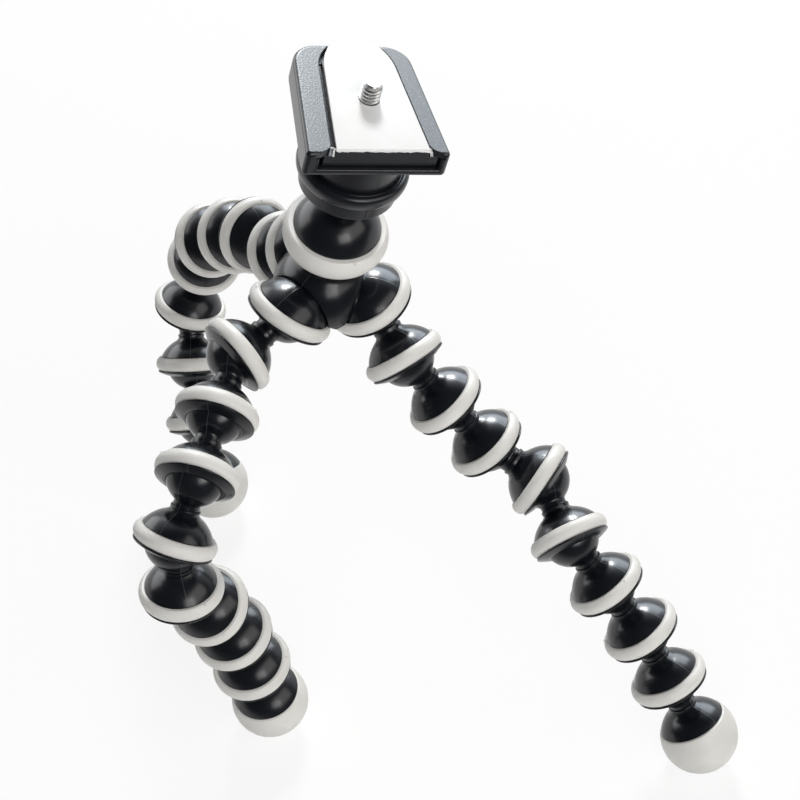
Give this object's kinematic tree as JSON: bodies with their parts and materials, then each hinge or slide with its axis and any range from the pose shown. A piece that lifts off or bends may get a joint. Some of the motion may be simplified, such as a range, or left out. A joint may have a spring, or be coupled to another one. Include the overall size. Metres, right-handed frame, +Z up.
{
  "type": "flexible leg tripod",
  "caption": "Small camera tripod with bendable ball-and-cup legs, rubber grip rings and ball feet, and a tilting quick-release head with a camera screw",
  "frame": {"origin": "middle of the floor plan, on the floor under the feet", "axes": "+Z up, standing on the three feet; -Y is the side the picture is taken from, +X is to its right"},
  "size_m": [0.1992, 0.1808, 0.2304],
  "materials": {
    "black_plastic": "glossy black moulded plastic with faint parting lines",
    "head_plastic": "black plastic, grained on the rail tops",
    "white_rubber": "warm white satin rubber",
    "white_pad": "plain white smooth pad",
    "screw_steel": "bright zinc-plated steel"
  },
  "bodies": {
    "hub": {"hub": "black_plastic", "hub_rings": "white_rubber"},
    "head": {"head": "head_plastic"},
    "plate": {"slide_plate": "head_plastic", "plate_pad": "white_pad"},
    "screw": {"camera_screw": "screw_steel"},
    "right_1": {"right_link_1": "black_plastic", "right_ring_1": "white_rubber"},
    "right_2": {"right_link_2": "black_plastic", "right_ring_2": "white_rubber"},
    "right_3": {"right_link_3": "black_plastic", "right_ring_3": "white_rubber"},
    "right_4": {"right_link_4": "black_plastic", "right_ring_4": "white_rubber"},
    "right_5": {"right_link_5": "black_plastic", "right_ring_5": "white_rubber"},
    "right_6": {"right_link_6": "black_plastic", "right_ring_6": "white_rubber"},
    "right_7": {"right_link_7": "black_plastic", "right_ring_7": "white_rubber"},
    "right_8": {"right_link_8": "black_plastic", "right_ring_8": "white_rubber"},
    "right_9": {"right_foot_link": "black_plastic", "right_foot": "white_rubber"},
    "left_1": {"left_link_1": "black_plastic", "left_ring_1": "white_rubber"},
    "left_2": {"left_link_2": "black_plastic", "left_ring_2": "white_rubber"},
    "left_3": {"left_link_3": "black_plastic", "left_ring_3": "white_rubber"},
    "left_4": {"left_link_4": "black_plastic", "left_ring_4": "white_rubber"},
    "left_5": {"left_link_5": "black_plastic", "left_ring_5": "white_rubber"},
    "left_6": {"left_link_6": "black_plastic", "left_ring_6": "white_rubber"},
    "left_7": {"left_link_7": "black_plastic", "left_ring_7": "white_rubber"},
    "left_8": {"left_link_8": "black_plastic", "left_ring_8": "white_rubber"},
    "left_9": {"left_foot_link": "black_plastic", "left_foot": "white_rubber"},
    "back_1": {"back_link_1": "black_plastic", "back_ring_1": "white_rubber"},
    "back_2": {"back_link_2": "black_plastic", "back_ring_2": "white_rubber"},
    "back_3": {"back_link_3": "black_plastic", "back_ring_3": "white_rubber"},
    "back_4": {"back_link_4": "black_plastic", "back_ring_4": "white_rubber"},
    "back_5": {"back_link_5": "black_plastic", "back_ring_5": "white_rubber"},
    "back_6": {"back_link_6": "black_plastic", "back_ring_6": "white_rubber"},
    "back_7": {"back_link_7": "black_plastic", "back_ring_7": "white_rubber"},
    "back_8": {"back_link_8": "black_plastic", "back_ring_8": "white_rubber"},
    "back_9": {"back_foot_link": "black_plastic", "back_foot": "white_rubber"}
  },
  "joints": [
    {"name": "right_bend_1", "type": "hinge", "parent": "hub", "child": "right_1", "pos_m": [-0.02036, -0.00318, 0.1434], "axis": [0.8585, 0.2921, 0.4216], "range_deg": [-4, 72]},
    {"name": "right_bend_2", "type": "hinge", "parent": "right_1", "child": "right_2", "pos_m": [-0.0097, -0.01407, 0.12924], "axis": [-0.7687, 0.0735, -0.6353], "range_deg": [-16, 60]},
    {"name": "right_bend_3", "type": "hinge", "parent": "right_2", "child": "right_3", "pos_m": [0.00316, -0.01756, 0.11328], "axis": [0.5254, 0.8147, 0.2455], "range_deg": [-37, 39]},
    {"name": "right_bend_4", "type": "hinge", "parent": "right_3", "child": "right_4", "pos_m": [0.01624, -0.02124, 0.09752], "axis": [0.5254, 0.8147, 0.2455], "range_deg": [-9, 67]},
    {"name": "right_bend_5", "type": "hinge", "parent": "right_4", "child": "right_5", "pos_m": [0.03346, -0.03003, 0.08985], "axis": [-0.1968, 0.397, -0.8965], "range_deg": [-70, 6]},
    {"name": "right_bend_6", "type": "hinge", "parent": "right_5", "child": "right_6", "pos_m": [0.04227, -0.04647, 0.08064], "axis": [0.8039, 0.1024, 0.5859], "range_deg": [-72, 4]},
    {"name": "right_bend_7", "type": "hinge", "parent": "right_6", "child": "right_7", "pos_m": [0.05443, -0.05307, 0.0651], "axis": [-0.7509, -0.5601, -0.35], "range_deg": [-35, 41]},
    {"name": "right_bend_8", "type": "hinge", "parent": "right_7", "child": "right_8", "pos_m": [0.06624, -0.05882, 0.04898], "axis": [0.3374, -0.7808, 0.5258], "range_deg": [-31, 45]},
    {"name": "right_bend_9", "type": "hinge", "parent": "right_8", "child": "right_9", "pos_m": [0.07605, -0.06596, 0.03209], "axis": [0.2651, -0.8234, 0.5018], "range_deg": [-37, 39]},
    {"name": "left_bend_1", "type": "hinge", "parent": "hub", "child": "left_1", "pos_m": [-0.04487, -0.01207, 0.14658], "axis": [0.6534, -0.7466, -0.1251], "range_deg": [-1, 75]},
    {"name": "left_bend_2", "type": "hinge", "parent": "left_1", "child": "left_2", "pos_m": [-0.06046, -0.02487, 0.14151], "axis": [-0.1048, -0.2528, 0.9618], "range_deg": [-72, 4]},
    {"name": "left_bend_3", "type": "hinge", "parent": "left_2", "child": "left_3", "pos_m": [-0.06579, -0.04416, 0.13586], "axis": [-0.6688, 0.3731, -0.6431], "range_deg": [-37, 39]},
    {"name": "left_bend_4", "type": "hinge", "parent": "left_3", "child": "left_4", "pos_m": [-0.07087, -0.06345, 0.12995], "axis": [-0.9426, 0.1578, 0.2943], "range_deg": [-2, 74]},
    {"name": "left_bend_5", "type": "hinge", "parent": "left_4", "child": "left_5", "pos_m": [-0.07776, -0.0749, 0.11401], "axis": [-0.7957, 0.5995, -0.0865], "range_deg": [-2, 74]},
    {"name": "left_bend_6", "type": "hinge", "parent": "left_5", "child": "left_6", "pos_m": [-0.07714, -0.07705, 0.09333], "axis": [-0.8454, 0.528, -0.0806], "range_deg": [-4, 72]},
    {"name": "left_bend_7", "type": "hinge", "parent": "left_6", "child": "left_7", "pos_m": [-0.07042, -0.06904, 0.07535], "axis": [0.9399, -0.2373, 0.2455], "range_deg": [-26, 50]},
    {"name": "left_bend_8", "type": "hinge", "parent": "left_7", "child": "left_8", "pos_m": [-0.06432, -0.06506, 0.05587], "axis": [0.7263, -0.6817, 0.0878], "range_deg": [-32, 44]},
    {"name": "left_bend_9", "type": "hinge", "parent": "left_8", "child": "left_9", "pos_m": [-0.05961, -0.06263, 0.03575], "axis": [0.3615, 0.9119, 0.1946], "range_deg": [-40, 36]},
    {"name": "back_bend_1", "type": "hinge", "parent": "hub", "child": "back_1", "pos_m": [-0.0397, 0.01353, 0.14947], "axis": [-0.2218, 0.6224, 0.7506], "range_deg": [-42, 34]},
    {"name": "back_bend_2", "type": "hinge", "parent": "back_1", "child": "back_2", "pos_m": [-0.04789, 0.02698, 0.13589], "axis": [0.8043, 0.5864, 0.0962], "range_deg": [-58, 18]},
    {"name": "back_bend_3", "type": "hinge", "parent": "back_2", "child": "back_3", "pos_m": [-0.05875, 0.0431, 0.12847], "axis": [-0.8043, -0.5864, -0.0962], "range_deg": [-56, 20]},
    {"name": "back_bend_4", "type": "hinge", "parent": "back_3", "child": "back_4", "pos_m": [-0.06726, 0.0569, 0.11545], "axis": [-0.6802, 0.2358, 0.6941], "range_deg": [-43, 33]},
    {"name": "back_bend_5", "type": "hinge", "parent": "back_4", "child": "back_5", "pos_m": [-0.07683, 0.06937, 0.10183], "axis": [-0.6275, -0.7415, -0.2374], "range_deg": [-60, 16]},
    {"name": "back_bend_6", "type": "hinge", "parent": "back_5", "child": "back_6", "pos_m": [-0.08082, 0.07858, 0.08361], "axis": [-0.9491, 0.1435, 0.2802], "range_deg": [-73, 3]},
    {"name": "back_bend_7", "type": "hinge", "parent": "back_6", "child": "back_7", "pos_m": [-0.08707, 0.07556, 0.064], "axis": [0.8318, 0.4439, -0.3332], "range_deg": [-2, 74]},
    {"name": "back_bend_8", "type": "hinge", "parent": "back_7", "child": "back_8", "pos_m": [-0.08641, 0.06231, 0.04798], "axis": [0.1101, 0.768, -0.6309], "range_deg": [-31, 45]},
    {"name": "back_bend_9", "type": "hinge", "parent": "back_8", "child": "back_9", "pos_m": [-0.08324, 0.04899, 0.03232], "axis": [-0.9864, -0.1464, -0.0751], "range_deg": [-31, 45]},
    {"name": "head_tilt", "type": "hinge", "parent": "hub", "child": "head", "pos_m": [-0.02603, -0.00787, 0.19506], "axis": [-0.8801, 0.4181, 0.2248], "range_deg": [-41, 29]},
    {"name": "plate_slide", "type": "slide", "parent": "head", "child": "plate", "axis": [0.2121, -0.9721, -0.1005], "range_m": [0, 0.045]},
    {"name": "screw_turn", "type": "hinge", "parent": "plate", "child": "screw", "pos_m": [-0.01979, -0.00411, 0.22156], "axis": [0.2241, -0.0517, 0.9732], "continuous": true}
  ]
}
